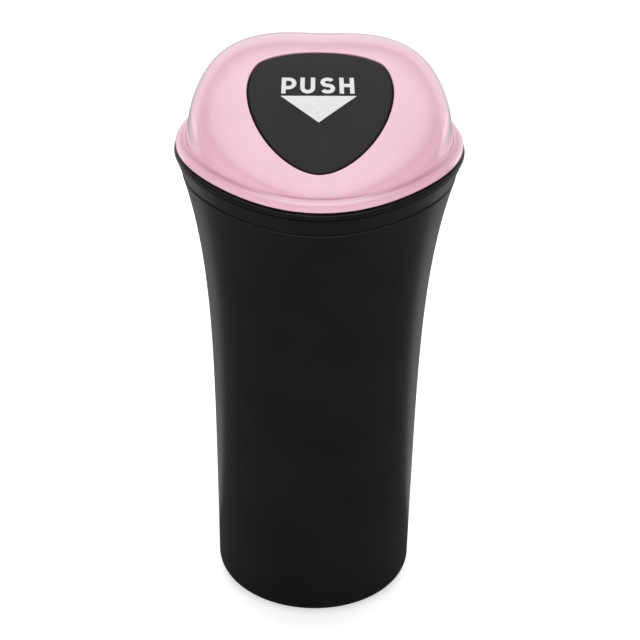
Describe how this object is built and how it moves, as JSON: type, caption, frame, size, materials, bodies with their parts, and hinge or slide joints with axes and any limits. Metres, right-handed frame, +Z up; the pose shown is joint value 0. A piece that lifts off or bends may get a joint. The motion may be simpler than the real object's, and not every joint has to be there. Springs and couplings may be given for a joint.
{
  "type": "car trash bin",
  "caption": "Small flared waste bin for a car cup holder, with a liner-bag collar, a lift-off dome lid and a sprung push flap.",
  "frame": {"origin": "middle of the ring that the bin stands on", "axes": "+Z up through the lid; the flap faces -Y; +X to the right of someone facing the flap"},
  "size_m": [0.0974, 0.0974, 0.2006],
  "materials": {
    "black_body": "satin black moulded plastic",
    "black_collar": "satin black moulded plastic",
    "pink_lid": "polished pale pink moulded plastic",
    "pin_steel": "drawn steel wire",
    "spring_steel": "bright spring wire",
    "flap_charcoal": "fine satin charcoal moulded plastic with pale printed mark"
  },
  "bodies": {
    "bin": {"barrel": "black_body", "bag_collar": "black_collar"},
    "lid": {"lid_dome": "pink_lid", "hinge_pin": "pin_steel", "return_spring": "spring_steel"},
    "flap": {"push_flap": "flap_charcoal"}
  },
  "joints": [
    {"name": "lid_lift", "type": "slide", "parent": "bin", "child": "lid", "axis": [0, 0, 1], "range_m": [0, 0.045]},
    {"name": "flap_hinge", "type": "hinge", "parent": "lid", "child": "flap", "pos_m": [0, 0.01106, 0.19555], "axis": [1, 0, 0], "range_deg": [0, 60], "stiffness_Nm_per_rad": 0.006, "springref_deg": -34.38, "deforming": ["return_spring"]}
  ]
}
